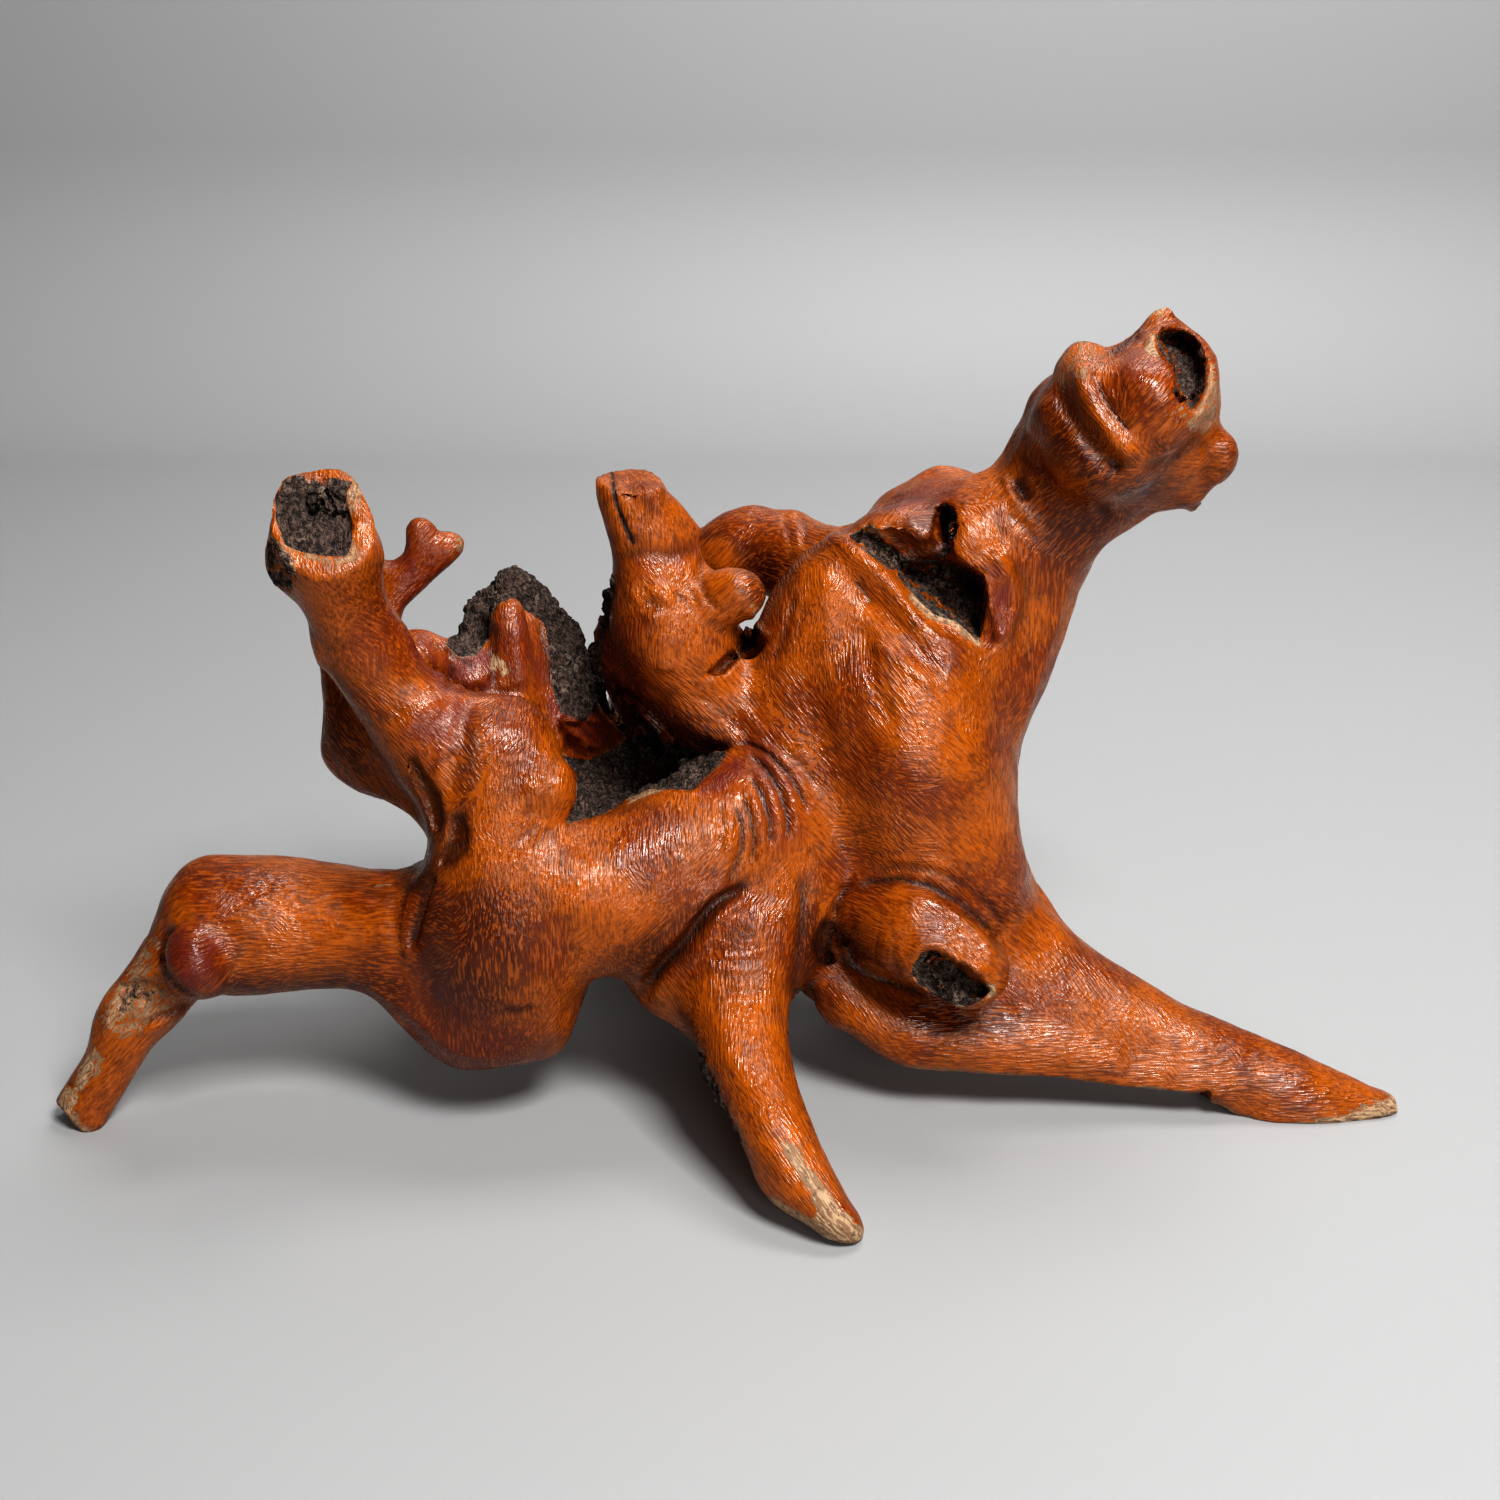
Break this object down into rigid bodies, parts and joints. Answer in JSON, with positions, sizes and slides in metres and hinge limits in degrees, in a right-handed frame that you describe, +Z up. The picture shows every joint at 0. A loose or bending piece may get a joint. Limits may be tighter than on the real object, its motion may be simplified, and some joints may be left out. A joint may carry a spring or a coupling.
{
  "type": "dry root",
  "caption": "Lacquered dry tree root, a twisted crown on sawn root feet, with broken limbs, a rotted basin and hollows.",
  "frame": {"origin": "on the floor under the middle of the root, at the bottom centre of its bounding box", "axes": "+X along the root's length, from the long bent leg towards the raised head; +Y away from the show side; +Z up"},
  "size_m": [0.671, 0.3588, 0.3843],
  "materials": {
    "lacquered_root_wood": "glossy orange-brown lacquer over bare root wood, with dull dark rot in the hollows and pale worn wood on the cut ends"
  },
  "bodies": {
    "root": {"root": "lacquered_root_wood"}
  },
  "joints": []
}
